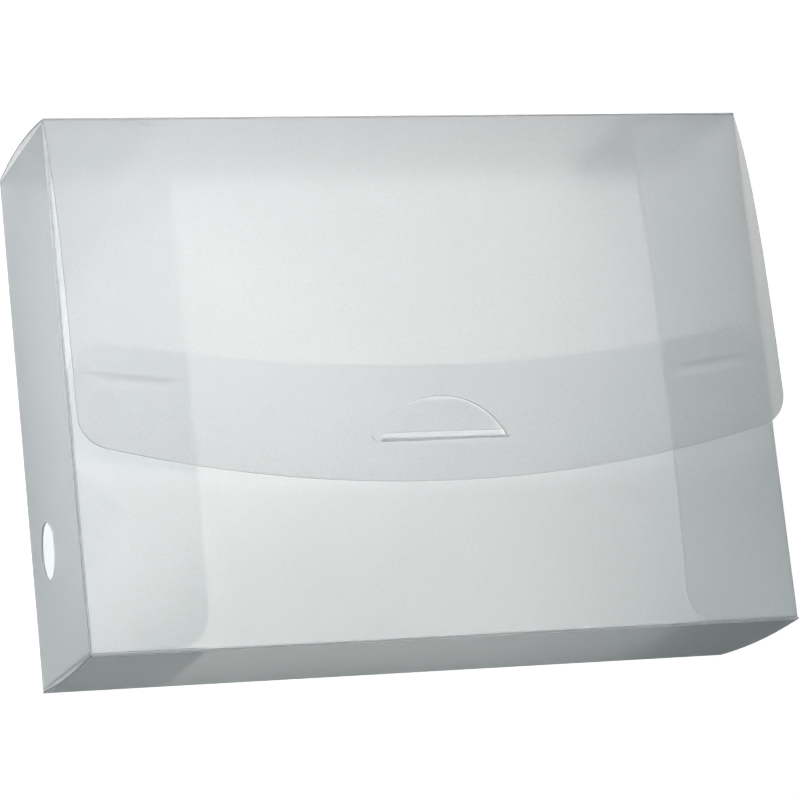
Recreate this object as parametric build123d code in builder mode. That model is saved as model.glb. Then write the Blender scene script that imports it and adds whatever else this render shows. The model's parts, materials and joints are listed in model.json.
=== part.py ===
from build123d import *
import os
from math import atan2, cos, radians, sin, sqrt

# Document box of frosted polypropylene sheet, die-cut, creased and folded, in millimetres.
# It lies on its back: +Z points out of the front, +Y towards the lid, +X to the right.
# The origin is the middle of the back panel's outer face.

# Box over its creases
width = 335.0
height = 244.0
depth = 95.0

# Sheet, and the open lines between neighbouring panels
sheet = 0.9
crease_gap = 0.1
layer_gap = 0.3
kerf = 0.2
nose_radius = 0.42

# How far the middle of each panel bows outwards from its creases
top_bow = 3.3
bottom_bow = 1.7
side_bow = 3.0
front_bow = 13.5

# Front panel: how far its top edge lies below the lid crease, and the arc of that edge
front_drop = 122.0
front_arc_radius = 664.0
front_corner_radius = 14.0
front_inset = 1.0
front_foot_radius = 2.0

# Lid flap: its drop below the lid crease, its stand off the front plane and its outline
flap_drop = 175.5
flap_arc_radius = 610.0
flap_corner_radius = 15.5
flap_stand = 15.3
flap_swell = (38.0, 14.0)
flap_ease = 85.0

# Lock in the middle: fold line of the tongue, arc of its cut, curls that stop a tear
lock_fold_drop = 156.4
lock_end_drop = 153.6
lock_apex_drop = 136.4
lock_half_width = 28.7
curl_radius = 2.8
curl_sweep = 84.0
curl_cut = 0.5
slot_top_drop = 152.4
slot_foot_drop = 157.8
slot_side_clear = 1.3
slot_corner_radius = 2.0
tongue_knee = (1.5, 4.0)
tongue_knee_radius = 1.4
tongue_reach = 18.7
tongue_rest = 3.8

# Locks that hold the front panel to the tuck flaps
side_lock_inset = 29.0
side_lock_drop = 120.5
side_lock_tilt = 9.0
side_lock_radius = 16.5
side_lock_knee = (1.7, 3.0)
side_lock_knee_radius = 1.4
side_lock_rest = 2.9
side_slit_height = 6.0
side_slit_clear = 1.0

# Tuck flaps behind the front, dust flaps behind the top and bottom panels
tuck_width = 54.0
tuck_clear = 1.0
tuck_corner_radius = 14.0
dust_length = 54.0
dust_clear = 1.5
dust_corner_radius = 9.0

# Finger hole in the spine
finger_radius = 13.0
finger_drop = 186.5
finger_level = 43.0

# Places that follow from the sizes
half_width = width / 2
half_height = height / 2
beside_sheet = sheet + crease_gap
inner_half_height = half_height - sheet - layer_gap
lid_axis_y = half_height - sheet / 2
lid_axis_z = depth - sheet / 2
surface_steps = 11
cutter = 2 * depth


def share_of_bow(across, along):
    """Share of the full bow at a point given as shares of a panel's half width and half length."""
    return (1 - across**2) * (1 - abs(along) ** 3)


def front_rise(x, y):
    """How far the front stands off its creases at a point."""
    return front_bow * share_of_bow(x / half_width, y / half_height)


def side_rise(y, z):
    """How far a side panel stands off its creases at a point."""
    return side_bow * share_of_bow(2 * z / depth - 1, y / half_height)


def curved_face(place, u_low, u_high, v_low, v_high):
    """Smooth face through the points that place(u, v) gives over a grid."""
    shares = [step / (surface_steps - 1) for step in range(surface_steps)]
    rows = [
        [place(u_low + (u_high - u_low) * u, v_low + (v_high - v_low) * v) for v in shares]
        for u in shares
    ]
    return Face.make_surface_from_array_of_points(rows)


def front_layer(level, x_low, x_high, y_low, y_high):
    """Middle face of a layer of the front whose creases lie at the given level."""
    return curved_face(
        lambda x, y: Vector(x, y, level + front_rise(x, y)), x_low, x_high, y_low, y_high
    )


def save(part, name):
    """Label a finished piece and write it to its own file."""
    part.label = name
    export_step(part, f"parts/{name}.step")


os.makedirs("parts", exist_ok=True)

# Back panel: flat on the table, its rim rounded where the creases run
with BuildPart() as back_panel:
    with BuildSketch():
        Rectangle(width, height)
    extrude(amount=sheet)
    fillet(back_panel.edges().filter_by(Axis.Z, reverse=True), nose_radius)
save(back_panel.part, "back_panel")


def bowed_wall(sign, bow):
    """Profile of a top or bottom panel: a strip bowed outwards between its two creases."""
    y = sign * (half_height - sheet / 2)
    back = (y, beside_sheet)
    front = (y, depth)
    with BuildSketch(Plane.YZ) as strip:
        with BuildLine():
            ThreePointArc(back, (y + sign * bow, (back[1] + depth) / 2), front)
        trace(line_width=sheet)
    return strip.sketch


# Top panel: the lid's top, which folds back about the back crease
with BuildPart() as top_panel:
    extrude(bowed_wall(1, top_bow), amount=half_width, both=True)
    fillet(top_panel.faces().sort_by(Axis.Z)[-1].edges().filter_by(Axis.X), nose_radius)
save(top_panel.part, "top_panel")

# Bottom panel: stays square to the back, and carries the front
with BuildPart() as bottom_panel:
    extrude(bowed_wall(-1, bottom_bow), amount=half_width, both=True)
    fillet(bottom_panel.faces().sort_by(Axis.Z)[-1].edges().filter_by(Axis.X), nose_radius)
save(bottom_panel.part, "bottom_panel")

# Side panels: stand on the back panel's rim, and the left one has the finger hole
side_front = depth - sheet - layer_gap
for side, side_name in ((-1, "left"), (1, "right")):
    side_face = curved_face(
        lambda y, z: Vector(side * (half_width - sheet / 2 + side_rise(y, z)), y, z),
        -half_height,
        half_height,
        0,
        depth,
    )
    with BuildPart() as side_panel:
        thicken(to_thicken=side_face, amount=sheet / 2, both=True)
        with BuildSketch(Plane.YZ):
            with Locations((0, (beside_sheet + side_front) / 2)):
                Rectangle(2 * inner_half_height, side_front - beside_sheet)
        extrude(amount=side * width, mode=Mode.INTERSECT)
        if side < 0:
            with BuildSketch(Plane.YZ):
                with Locations((half_height - finger_drop, finger_level)):
                    Circle(finger_radius)
            extrude(amount=side * width, mode=Mode.SUBTRACT)
    save(side_panel.part, f"{side_name}_side_panel")


def lock_half_moon():
    """Cut of the tongue in the lid flap: an arc that flares at its foot round the curls."""
    fold = half_height - lock_fold_drop
    end = half_height - lock_end_drop
    foot = lock_half_width + curl_radius
    with BuildSketch() as moon:
        with BuildLine():
            Line((-foot, fold), (foot, fold))
            RadiusArc((foot, fold), (lock_half_width, end), curl_radius)
            ThreePointArc(
                (lock_half_width, end), (0, half_height - lock_apex_drop), (-lock_half_width, end)
            )
            RadiusArc((-lock_half_width, end), (-foot, fold), curl_radius)
        make_face()
    return moon.sketch


def side_lock_plane(side):
    """Flat plane over a side lock: its origin in the chord's middle, its x along the chord."""
    tilt = radians(side_lock_tilt)
    return Plane(
        origin=(side * (half_width - side_lock_inset), half_height - side_lock_drop, 0),
        x_dir=(cos(tilt), side * sin(tilt), 0),
        z_dir=(0, 0, 1),
    )


def half_disc(side, radius):
    """Outline of a side lock: the half of a disc below its chord."""
    with BuildSketch(side_lock_plane(side)) as half:
        Circle(radius)
        Rectangle(2 * radius, radius, align=(Align.CENTER, Align.MIN), mode=Mode.SUBTRACT)
    return half.sketch


# Front panel: rises from the bottom crease over the tuck flaps, with a hollow top edge
front_low = -half_height + beside_sheet
front_top = half_height - front_drop
front_side = half_width - front_inset
front_shoulder = front_top + front_arc_radius - sqrt(front_arc_radius**2 - front_side**2)
front_face = front_layer(lid_axis_z, -half_width, half_width, -half_height, half_height)
with BuildPart() as front_panel:
    thicken(to_thicken=front_face, amount=sheet / 2, both=True)
    with BuildSketch() as front_outline:
        with BuildLine():
            Line((-front_side, front_low), (front_side, front_low))
            Line((front_side, front_low), (front_side, front_shoulder))
            ThreePointArc((front_side, front_shoulder), (0, front_top), (-front_side, front_shoulder))
            Line((-front_side, front_shoulder), (-front_side, front_low))
        make_face()
        corners = front_outline.vertices().group_by(Axis.Y)
        fillet(corners[-1], front_corner_radius)
        fillet(corners[0], front_foot_radius)
    extrude(amount=cutter, mode=Mode.INTERSECT)
    with BuildSketch() as slot:
        with Locations((0, half_height - (slot_top_drop + slot_foot_drop) / 2)):
            Rectangle(
                2 * (lock_half_width + slot_side_clear), slot_foot_drop - slot_top_drop
            )
        fillet(slot.vertices().group_by(Axis.Y)[0], slot_corner_radius)
    extrude(amount=cutter, mode=Mode.SUBTRACT)
    for side in (-1, 1):
        extrude(half_disc(side, side_lock_radius), amount=cutter, mode=Mode.SUBTRACT)
save(front_panel.part, "front_panel")

# Tuck flaps: turned in from the side panels, behind the front and bowed with it
tuck_level = depth - sheet - layer_gap - sheet / 2
tuck_half_height = inner_half_height - tuck_clear
for side, side_name in ((-1, "left"), (1, "right")):
    tuck_face = front_layer(
        tuck_level,
        *sorted((side * half_width, side * (half_width - tuck_width - tuck_clear))),
        -half_height,
        half_height,
    )
    with BuildPart() as tuck_flap:
        thicken(to_thicken=tuck_face, amount=sheet / 2, both=True)
        with BuildSketch() as tuck_outline:
            with Locations((side * (half_width - (beside_sheet + tuck_width) / 2), 0)):
                Rectangle(tuck_width - beside_sheet, 2 * tuck_half_height)
            free_side = tuck_outline.vertices().sort_by(Axis.X, reverse=side > 0)[-2:]
            fillet(free_side, tuck_corner_radius)
        extrude(amount=cutter, mode=Mode.INTERSECT)
        with BuildSketch(side_lock_plane(side)):
            Rectangle(
                2 * (side_lock_radius + side_slit_clear),
                side_slit_height,
                align=(Align.CENTER, Align.MAX),
            )
        extrude(amount=cutter, mode=Mode.SUBTRACT)
    save(tuck_flap.part, f"{side_name}_tuck_flap")


def dipping_strip(plane, knee, knee_radius, rest, reach):
    """Profile of a tongue that dives from its fold line to a knee and then runs on behind a panel.

    In the plane, x runs from the fold line to the tip and y runs inwards.
    """
    angle = atan2(knee[1], knee[0])
    start_x = crease_gap * cos(angle) + sheet / 2 * sin(angle)
    start_y = sheet / 2 + crease_gap * sin(angle) - sheet / 2 * cos(angle)
    with BuildSketch(plane) as strip:
        with BuildLine():
            FilletPolyline(
                (start_x, start_y),
                (start_x + knee[0], knee[1]),
                (reach, rest),
                radius=knee_radius,
            )
        trace(line_width=sheet)
    return strip.sketch


# Side lock tongues: cut in the front panel, folded in and hooked behind the tuck flaps
for side, side_name in ((-1, "left"), (1, "right")):
    lock_plane = side_lock_plane(side)
    lock_x = lock_plane.origin.X
    lock_y = lock_plane.origin.Y
    slope = -2 * front_bow * lock_x / half_width**2
    chord = Vector(lock_plane.x_dir.X, lock_plane.x_dir.Y, slope * lock_plane.x_dir.X)
    profile_plane = Plane(
        origin=(lock_x, lock_y, lid_axis_z + front_rise(lock_x, lock_y)),
        x_dir=-lock_plane.y_dir,
        z_dir=chord,
    )
    tongue_profile = dipping_strip(
        profile_plane, side_lock_knee, side_lock_knee_radius, side_lock_rest, side_lock_radius
    )
    with BuildPart() as side_tongue:
        extrude(tongue_profile, amount=side_lock_radius, both=True)
        extrude(half_disc(side, side_lock_radius - kerf), amount=cutter, mode=Mode.INTERSECT)
    save(side_tongue.part, f"{side_name}_side_lock_tongue")

# Dust flaps: turned in from the ends of the side panels, under the top and bottom panels
dust_low = sheet + dust_clear
dust_high = tuck_level - sheet / 2 - dust_clear
for end, end_name in ((-1, "bottom"), (1, "top")):
    for side, side_name in ((-1, "left"), (1, "right")):
        dust_plane = Plane(
            origin=(0, end * (inner_half_height - sheet / 2), 0), x_dir=(1, 0, 0), z_dir=(0, -1, 0)
        )
        with BuildPart() as dust_flap:
            with BuildSketch(dust_plane) as dust_outline:
                with Locations(
                    (side * (half_width - (beside_sheet + dust_length) / 2), (dust_low + dust_high) / 2)
                ):
                    Rectangle(dust_length - beside_sheet, dust_high - dust_low)
                free_side = dust_outline.vertices().sort_by(Axis.X, reverse=side > 0)[-2:]
                fillet(free_side, dust_corner_radius)
            extrude(amount=sheet / 2, both=True)
        save(dust_flap.part, f"{side_name}_{end_name}_dust_flap")

# Lid flap: swells off the lid crease, then hangs parallel to the front, cut to its outline
flap_rise_angle = atan2(flap_swell[1], flap_swell[0])
flap_start = sheet / 2 + crease_gap
flap_low = half_height - flap_drop
flap_shoulder = flap_low + flap_arc_radius - sqrt(flap_arc_radius**2 - half_width**2)
with BuildPart() as lid_flap:
    with BuildSketch(Plane.YZ):
        with BuildLine() as flap_line:
            Bezier(
                (
                    lid_axis_y - flap_start * cos(flap_rise_angle),
                    lid_axis_z + flap_start * sin(flap_rise_angle),
                ),
                (lid_axis_y - flap_swell[0], lid_axis_z + flap_swell[1]),
                (lid_axis_y - flap_ease, lid_axis_z + flap_stand),
                (flap_low - sheet, lid_axis_z + flap_stand),
            )
        trace(line_width=sheet)
    extrude(amount=width, both=True)
    with BuildSketch() as flap_outline:
        with BuildLine():
            Line((-half_width, half_height), (half_width, half_height))
            Line((half_width, half_height), (half_width, flap_shoulder))
            ThreePointArc((half_width, flap_shoulder), (0, flap_low), (-half_width, flap_shoulder))
            Line((-half_width, flap_shoulder), (-half_width, half_height))
        make_face()
        low_corners = flap_outline.vertices().group_by(Axis.Y)[0]
        fillet(low_corners, flap_corner_radius)
    extrude(amount=cutter, mode=Mode.INTERSECT)
    extrude(lock_half_moon(), amount=cutter, mode=Mode.SUBTRACT)
    with BuildSketch():
        for side, first_angle in ((-1, 270 - curl_sweep), (1, 270)):
            curl = CenterArc(
                (side * (lock_half_width + curl_radius), half_height - lock_end_drop),
                curl_radius,
                first_angle,
                curl_sweep,
            )
            SlotArc(curl, curl_cut)
    extrude(amount=cutter, mode=Mode.SUBTRACT)
save(lid_flap.part, "lid_flap")

# Lock tongue: folds in from the lid flap, through the slot and up behind the front panel
fold_y = half_height - lock_fold_drop
fold_z = flap_line.edge().intersect(Plane.YZ.offset(fold_y))[0].Y
tongue_plane = Plane(origin=(0, fold_y, fold_z), x_dir=(0, 1, 0), z_dir=(-1, 0, 0))
tongue_profile = dipping_strip(
    tongue_plane, tongue_knee, tongue_knee_radius, tongue_rest, tongue_reach
)
with BuildPart() as lock_tongue:
    extrude(tongue_profile, amount=lock_half_width + curl_radius, both=True)
    with BuildSketch():
        add(lock_half_moon())
        offset(amount=-kerf)
    extrude(amount=cutter, mode=Mode.INTERSECT)
save(lock_tongue.part, "lock_tongue")
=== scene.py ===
import json
from math import cos, pi, radians, sin

import bmesh
import bpy
from mathutils import Euler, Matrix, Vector


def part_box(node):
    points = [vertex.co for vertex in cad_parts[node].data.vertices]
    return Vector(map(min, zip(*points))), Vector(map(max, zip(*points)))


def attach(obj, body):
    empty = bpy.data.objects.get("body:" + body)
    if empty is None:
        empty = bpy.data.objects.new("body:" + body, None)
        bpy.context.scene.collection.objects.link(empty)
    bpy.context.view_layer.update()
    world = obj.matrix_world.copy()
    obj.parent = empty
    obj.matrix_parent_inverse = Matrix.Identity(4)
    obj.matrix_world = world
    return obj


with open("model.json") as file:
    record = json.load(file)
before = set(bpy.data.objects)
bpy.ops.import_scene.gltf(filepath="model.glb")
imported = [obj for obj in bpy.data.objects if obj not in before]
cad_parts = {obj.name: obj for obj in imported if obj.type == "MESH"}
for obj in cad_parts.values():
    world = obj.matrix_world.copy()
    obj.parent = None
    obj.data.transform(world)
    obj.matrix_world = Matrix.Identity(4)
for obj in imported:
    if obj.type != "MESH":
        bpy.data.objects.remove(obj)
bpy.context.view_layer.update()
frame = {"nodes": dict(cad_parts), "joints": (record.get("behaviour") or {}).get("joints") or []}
scene = bpy.context.scene


# The sheet. The whole box is one die-cut sheet of polypropylene, extruded clear and rolled matt
# on both faces. The matt faces scatter light, so what touches the sheet shows sharp through it
# and what stands further off is blurred, and each further layer takes a little light away.
MM = 0.001
SHEET_TINT = "F8F9F9"
SHEET_WHITE = "E6EFEF"
SHADOW_TINT = "E4E5E5"
SHEET_IOR = 1.49
SHEET_ROUGHNESS = 0.25
SHEET_CLEAR = 0.7
# The real grain is near 0.1 mm, too fine for the render, and is drawn coarser to show.
GRAIN = 0.5 * MM
GRAIN_SPAN = (0.3, 0.7)
GRAIN_DEPTH = 0.016
GRAIN_BUMP = 0.03
GRAIN_HEIGHT = 0.02 * MM


def linear(hex_colour):
    """An sRGB hex colour as the linear colour that a shader takes."""
    shares = [int(hex_colour[i:i + 2], 16) / 255 for i in (0, 2, 4)]
    return [s / 12.92 if s <= 0.04045 else ((s + 0.055) / 1.055) ** 2.4 for s in shares] + [1]


def add(tree, kind, links=(), **settings):
    """Adds one node. links gives its inputs from other nodes, settings its options and inputs."""
    node = tree.nodes.new("ShaderNode" + kind)
    for name, value in settings.items():
        if hasattr(node, name):
            setattr(node, name, value)
        else:
            node.inputs[name.replace("_", " ")].default_value = value
    for name, source in dict(links).items():
        tree.links.new(source, node.inputs[name])
    return node


def empty_material(name):
    material = bpy.data.materials.new(name)
    material.use_nodes = True
    material.node_tree.nodes.clear()
    return material


def frosted_polypropylene():
    """Clear polypropylene with matt rolled faces: cool white, soft gloss, fine even grain.

    A share of the light scatters back off the near face and the rest goes on through, blurred.
    Light that has scattered once, and lamp light, pass the far face without being bent.
    """
    material = empty_material("frosted_polypropylene_rolled_matt")
    tree = material.node_tree
    place = add(tree, "TexCoord").outputs["Object"]
    path = add(tree, "LightPath")
    grain = add(tree, "TexNoise", {"Vector": place}, Scale=1 / GRAIN, Detail=1.0, Roughness=0.5)
    grain = grain.outputs["Fac"]
    bump = add(tree, "Bump", {"Height": grain}, Strength=GRAIN_BUMP, Distance=GRAIN_HEIGHT)
    matt = {"Normal": bump.outputs["Normal"]}
    clear = add(
        tree, "BsdfPrincipled", matt, Base_Color=linear(SHEET_TINT), Roughness=SHEET_ROUGHNESS,
        IOR=SHEET_IOR, Transmission_Weight=1.0,
    )
    white = add(tree, "BsdfDiffuse", matt, Color=linear(SHEET_WHITE))
    speckle = add(
        tree, "MapRange", {"Value": grain}, From_Min=GRAIN_SPAN[0], From_Max=GRAIN_SPAN[1],
        To_Min=SHEET_CLEAR - GRAIN_DEPTH, To_Max=SHEET_CLEAR + GRAIN_DEPTH,
    )
    near_face = add(
        tree, "MixShader", {0: speckle.outputs["Result"], 1: white.outputs[0], 2: clear.outputs[0]}
    )
    open_air = add(tree, "BsdfTransparent")
    far_face = add(
        tree, "MixShader",
        {0: path.outputs["Is Diffuse Ray"], 1: clear.outputs[0], 2: open_air.outputs[0]},
    )
    is_far = add(tree, "NewGeometry").outputs["Backfacing"]
    face = add(tree, "MixShader", {0: is_far, 1: near_face.outputs[0], 2: far_face.outputs[0]})
    lit_through = add(tree, "BsdfTransparent", Color=linear(SHADOW_TINT))
    sheet = add(
        tree, "MixShader",
        {0: path.outputs["Is Shadow Ray"], 1: face.outputs[0], 2: lit_through.outputs[0]},
    )
    add(tree, "OutputMaterial", {"Surface": sheet.outputs[0]})
    return material


frosted = frosted_polypropylene()
for panel in frame["nodes"].values():
    panel.data.materials.clear()
    panel.data.materials.append(frosted)


# The creases. Where the sheet is folded, a creasing rule has squeezed it to a rounded bead, and the
# squeezed plastic turns milky white. That white also serves as a painted highlight along the fold.
# Each bead runs along the axis its two panels turn about.
HALF_SHEET = 0.45 * MM
CREASE_GAP = 0.1 * MM
CREASE_RADIUS = 0.7 * MM
BACK_CREASE_RADIUS = 0.44 * MM
LOCK_CREASE_RADIUS = 0.6 * MM
CREASE_SIDES = 12
# The bead's milky white is partly real stress whitening and partly a painted highlight along the
# fold.
CREASE_WHITE_AND_HIGHLIGHT = "FAFBFB"
CREASE_CLOUDY = 0.65
CREASE_ROUGHNESS = 0.5
CREASE_IOR = 1.15
CREASE_OPEN = 0.2
# The rule's teeth leave small ticks along the fold.
CREASE_TICKS = 1.2 * MM
CREASE_TICK_DEPTH = 0.04
joint_place = {joint["name"]: joint["pos_m"] for joint in frame["joints"]}


def creased_polypropylene():
    """Stress-whitened polypropylene at a fold: milky white, partly a painted highlight, still
    passing some light.
    """
    material = empty_material("creased_polypropylene_stress_white_and_painted_highlight")
    tree = material.node_tree
    place = add(tree, "TexCoord").outputs["Object"]
    path = add(tree, "LightPath")
    strain = add(tree, "TexNoise", {"Vector": place}, Scale=1 / CREASE_TICKS, Detail=2.0)
    ticks = add(
        tree, "MapRange", {"Value": strain.outputs["Fac"]},
        From_Min=GRAIN_SPAN[0], From_Max=GRAIN_SPAN[1],
        To_Min=CREASE_OPEN - CREASE_TICK_DEPTH, To_Max=CREASE_OPEN + CREASE_TICK_DEPTH,
    )
    white = add(tree, "BsdfDiffuse", Color=linear(CREASE_WHITE_AND_HIGHLIGHT))
    cloudy = add(
        tree, "BsdfPrincipled", Base_Color=linear(CREASE_WHITE_AND_HIGHLIGHT), Roughness=CREASE_ROUGHNESS,
        IOR=CREASE_IOR, Transmission_Weight=1.0,
    )
    haze = add(tree, "MixShader", {1: white.outputs[0], 2: cloudy.outputs[0]}, Fac=CREASE_CLOUDY)
    open_air = add(tree, "BsdfTransparent", Color=linear(SHADOW_TINT))
    passing = add(
        tree, "Math", {0: ticks.outputs["Result"], 1: path.outputs["Is Shadow Ray"]},
        operation="MAXIMUM",
    )
    bead = add(
        tree, "MixShader", {0: passing.outputs[0], 1: haze.outputs[0], 2: open_air.outputs[0]}
    )
    add(tree, "OutputMaterial", {"Surface": bead.outputs[0]})
    return material


creased = creased_polypropylene()


def crease(name, start, end, radius, body):
    """A round bead along one fold line, riding on the body that carries the line."""
    start, end = Vector(start), Vector(end)
    along = (end - start).normalized()
    side = along.orthogonal().normalized()
    other = along.cross(side)
    turns = [2 * pi * i / CREASE_SIDES for i in range(CREASE_SIDES)]
    bead = bmesh.new()
    rings = [
        [bead.verts.new(middle + radius * (cos(a) * side + sin(a) * other)) for a in turns]
        for middle in (start, end)
    ]
    for i in range(CREASE_SIDES):
        after = (i + 1) % CREASE_SIDES
        face = bead.faces.new((rings[0][i], rings[0][after], rings[1][after], rings[1][i]))
        face.smooth = True
    bead.faces.new(rings[0][::-1])
    bead.faces.new(rings[1])
    mesh = bpy.data.meshes.new(name)
    bead.to_mesh(mesh)
    bead.free()
    piece = bpy.data.objects.new(name, mesh)
    scene.collection.objects.link(piece)
    mesh.materials.append(creased)
    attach(piece, body)


back_low, back_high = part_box("back_panel")
front_low, front_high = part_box("front_panel")
back_fold_z = HALF_SHEET
front_fold_z = front_low[2] + HALF_SHEET
for side, sign in (("left", -1), ("right", 1)):
    low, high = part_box(f"{side}_tuck_flap")
    fold_x = sign * (max(abs(low[0]), abs(high[0])) + CREASE_GAP + HALF_SHEET)
    tuck_fold_z = low[2] + HALF_SHEET
    for name, z, radius in (
        ("tuck_crease", tuck_fold_z, CREASE_RADIUS),
        ("back_crease", back_fold_z, BACK_CREASE_RADIUS),
    ):
        crease(f"{side}_{name}", (fold_x, low[1], z), (fold_x, high[1], z), radius, "box")
    for end in ("bottom", "top"):
        x, y, _ = joint_place[f"{side}_{end}_dust_hinge"]
        low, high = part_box(f"{side}_{end}_dust_flap")
        crease(
            f"{side}_{end}_dust_crease", (x, y, low[2]), (x, y, high[2]),
            BACK_CREASE_RADIUS, "box",
        )
bottom_fold = (back_low[1] + HALF_SHEET, back_fold_z)
bottom_front_fold = (back_low[1] + HALF_SHEET, front_fold_z)
top_fold = joint_place["lid_top_hinge"][1:]
flap_fold = joint_place["lid_flap_hinge"][1:]
for name, fold, low, high, radius, body in (
    ("bottom_back_crease", bottom_fold, back_low, back_high, BACK_CREASE_RADIUS, "box"),
    ("bottom_front_crease", bottom_front_fold, front_low, front_high, CREASE_RADIUS, "box"),
    ("lid_back_crease", top_fold, back_low, back_high, BACK_CREASE_RADIUS, "box"),
    ("lid_front_crease", flap_fold, back_low, back_high, CREASE_RADIUS, "lid_top"),
):
    crease(name, (low[0], *fold), (high[0], *fold), radius, body)
lock_fold = (joint_place["lock_tongue_fold"][1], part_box("lid_flap")[1][2] - LOCK_CREASE_RADIUS)
tongue_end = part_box("lock_tongue")[1][0]
crease(
    "lock_crease", (-tongue_end, *lock_fold), (tongue_end, *lock_fold), LOCK_CREASE_RADIUS,
    "lid_flap",
)


# The floor. A plain pale painted board under the box, which shows white and keeps the box's soft
# shadow. Seen through the sheet it is a warm white that falls to a cool grey at the lower right,
# a painted shade that darkens the lower right of the box.
# It lies a little below the box, because the opened top panel bows down under the back panel.
FLOOR_SIZE = 6.0
FLOOR_DROP = 3.5 * MM
FLOOR_PAINT = "C8CCCC"
FLOOR_WHITE = "F4F4F4"
FLOOR_NEAR = "EBE5E2"
# Painted shade: the cool grey that the glow seen through the sheet falls to at the lower right.
FLOOR_PAINTED_SHADE = "929998"
FLOOR_PAINTED_SHADE_DIRECTION = (0.95, -0.3, 0.0)
FLOOR_PAINTED_SHADE_START, FLOOR_PAINTED_SHADE_END = 0.06, 0.26
bpy.ops.mesh.primitive_plane_add(size=FLOOR_SIZE, location=(0, 0, -FLOOR_DROP))
floor = bpy.context.object
floor.name = "floor"
board = empty_material("pale_painted_board")
tree = board.node_tree
place = add(tree, "TexCoord").outputs["Object"]
path = add(tree, "LightPath")
paint = add(tree, "BsdfDiffuse", Color=linear(FLOOR_PAINT))
along = add(tree, "VectorMath", {0: place}, operation="DOT_PRODUCT")
along.inputs[1].default_value = FLOOR_PAINTED_SHADE_DIRECTION
# Painted shade: the glow seen through the sheet darkens along this direction.
painted_shade_ramp = add(
    tree, "MapRange", {"Value": along.outputs["Value"]}, interpolation_type="SMOOTHSTEP",
    From_Min=FLOOR_PAINTED_SHADE_START, From_Max=FLOOR_PAINTED_SHADE_END,
)
through = add(
    tree, "Mix", {"Factor": painted_shade_ramp.outputs["Result"]}, data_type="RGBA",
    A=linear(FLOOR_NEAR), B=linear(FLOOR_PAINTED_SHADE),
)
glow_colour = add(
    tree, "Mix", {"Factor": path.outputs["Is Camera Ray"], "A": through.outputs["Result"]},
    data_type="RGBA", B=linear(FLOOR_WHITE),
)
seen = add(
    tree, "Math", {0: path.outputs["Is Camera Ray"], 1: path.outputs["Is Transmission Ray"]},
    operation="MAXIMUM",
)
glow = add(
    tree, "Emission", {"Color": glow_colour.outputs["Result"], "Strength": seen.outputs[0]}
)
surface = add(tree, "AddShader", {0: paint.outputs[0], 1: glow.outputs[0]})
add(tree, "OutputMaterial", {"Surface": surface.outputs[0]})
floor.data.materials.append(board)


# The room. It gives no light of its own, and shows as plain white to the eye, in the gloss and
# through the sheet.
world = bpy.data.worlds.new("studio")
scene.world = world
world.use_nodes = True
tree = world.node_tree
tree.nodes.clear()
path = add(tree, "LightPath")
seen = add(
    tree, "Math", {0: path.outputs["Is Camera Ray"], 1: path.outputs["Is Transmission Ray"]},
    operation="MAXIMUM",
)
seen = add(
    tree, "Math", {0: seen.outputs[0], 1: path.outputs["Is Glossy Ray"]}, operation="MAXIMUM"
)
backdrop = add(tree, "Background", {"Strength": seen.outputs[0]}, Color=(1, 1, 1, 1))
add(tree, "OutputWorld", {"Surface": backdrop.outputs[0]})


# The lamps. A soft box overhead, a low one on the left, one behind the upper left corner and a weak
# one that faces the bottom panel. The lower right stays in shade, which gives the sheet its edges.
for name, lamp_facts in {
    "overhead": {
        "place": (-0.1, 0.2, 1.2), "aim": (-0.1, 0.0, 0.05), "size": 0.6, "spread": 50,
        "power": 0.265, "colour": (0.96, 0.84, 0.83),
    },
    "low_left": {
        "place": (-1.0, 0.0, 0.3), "aim": (-0.17, 0.0, 0.05), "size": 0.4, "spread": 60,
        "power": 0.190, "colour": (0.52, 1.0, 0.97),
    },
    "behind": {
        "place": (-0.5, 0.9, 0.35), "aim": (-0.1, 0.12, 0.05), "size": 0.4, "spread": 60,
        "power": 1.11, "colour": (1.0, 0.89, 0.96),
    },
    "low_front": {
        "place": (0.0, -1.0, 0.3), "aim": (0.0, -0.12, 0.05), "size": 0.4, "spread": 60,
        "power": 0.040, "colour": (0.40, 1.0, 0.95),
    },
}.items():
    lamp = bpy.data.lights.new(name, "AREA")
    lamp.shape = "SQUARE"
    lamp.size = lamp_facts["size"]
    lamp.spread = radians(lamp_facts["spread"])
    lamp.energy = lamp_facts["power"]
    lamp.color = lamp_facts["colour"]
    soft_box = bpy.data.objects.new(name, lamp)
    soft_box.location = lamp_facts["place"]
    facing = Vector(lamp_facts["aim"]) - Vector(lamp_facts["place"])
    soft_box.rotation_euler = facing.to_track_quat("-Z", "Y").to_euler()
    scene.collection.objects.link(soft_box)


# The camera stands above the box's lower left, with a long lens, and sees the front square on.
CAMERA_PLACE = (-0.5587, -0.3854, 1.6783)
CAMERA_TURN = (14.533, -17.537, -6.302)
CAMERA_LENS = 170.96
CAMERA_SENSOR = 36
camera = bpy.data.objects.new("camera", bpy.data.cameras.new("camera"))
camera.data.sensor_width = CAMERA_SENSOR
camera.data.lens = CAMERA_LENS
camera.location = CAMERA_PLACE
camera.rotation_euler = Euler([radians(a) for a in CAMERA_TURN])
scene.collection.objects.link(camera)
scene.camera = camera

# A ray can pass up to six sheets, with two faces each, and be turned back inside some of them.
THROUGH_BOUNCES = 24
SOFT_BOUNCES = 4
scene.view_settings.view_transform = "Standard"
scene.cycles.max_bounces = THROUGH_BOUNCES
scene.cycles.transmission_bounces = THROUGH_BOUNCES
scene.cycles.transparent_max_bounces = THROUGH_BOUNCES
scene.cycles.diffuse_bounces = SOFT_BOUNCES
scene.cycles.glossy_bounces = SOFT_BOUNCES
